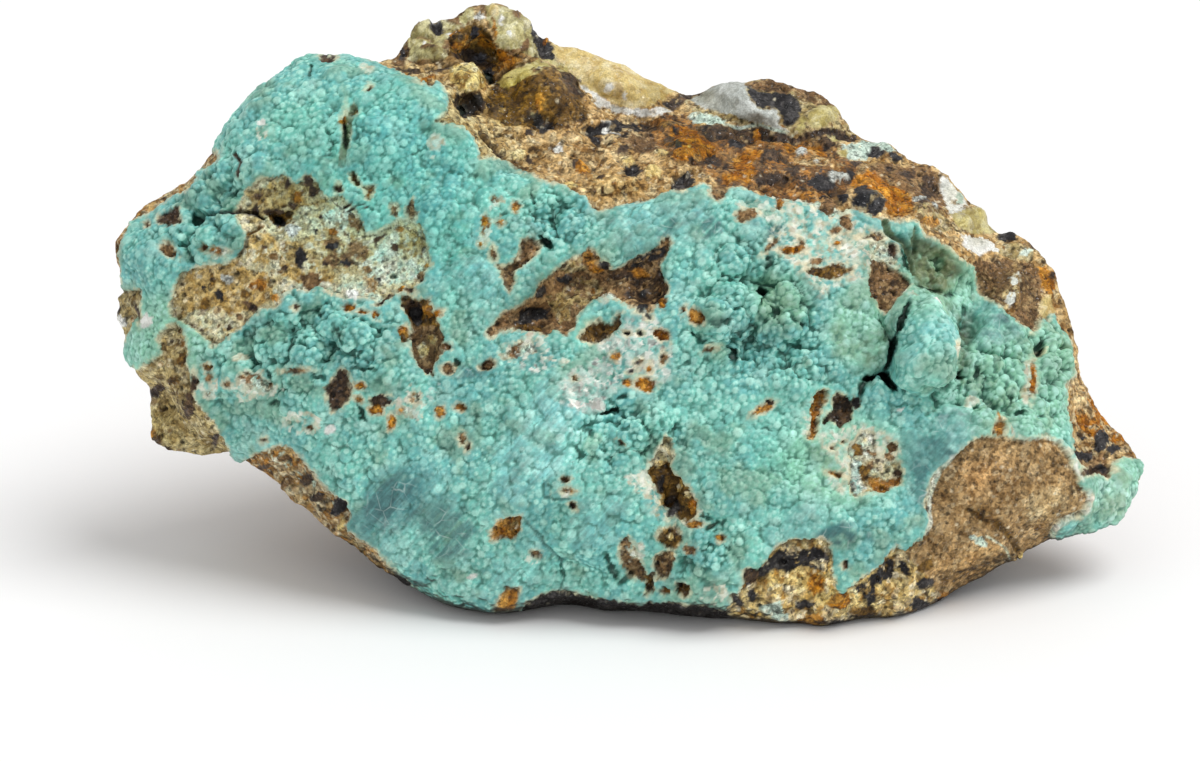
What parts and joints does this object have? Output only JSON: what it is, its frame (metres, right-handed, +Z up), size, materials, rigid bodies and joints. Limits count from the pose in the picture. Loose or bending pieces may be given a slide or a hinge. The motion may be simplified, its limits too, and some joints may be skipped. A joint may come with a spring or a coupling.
{
  "type": "copper ore specimen",
  "caption": "Loose hand specimen of copper ore: a broken brown stone with a knobbly blue-green crust over its leaning front, resting on a flat foot.",
  "frame": {"origin": "a point on the flat foot, on the floor, near the middle of the specimen's width and close behind its crusted front", "axes": "+X along the specimen's longest side, to the right as the crusted front is looked at; +Y from that front towards the broken back; +Z up as it rests"},
  "size_m": [0.1054, 0.0495, 0.0532],
  "materials": {
    "brown_stone": "rough broken limonite and breccia, dull, with black, rust, cream and tan areas",
    "copper_crust": "blue-green chrysocolla and malachite crust of tiny round grains, satin"
  },
  "bodies": {
    "root": {"copper_ore_specimen": "brown_stone"}
  },
  "joints": []
}
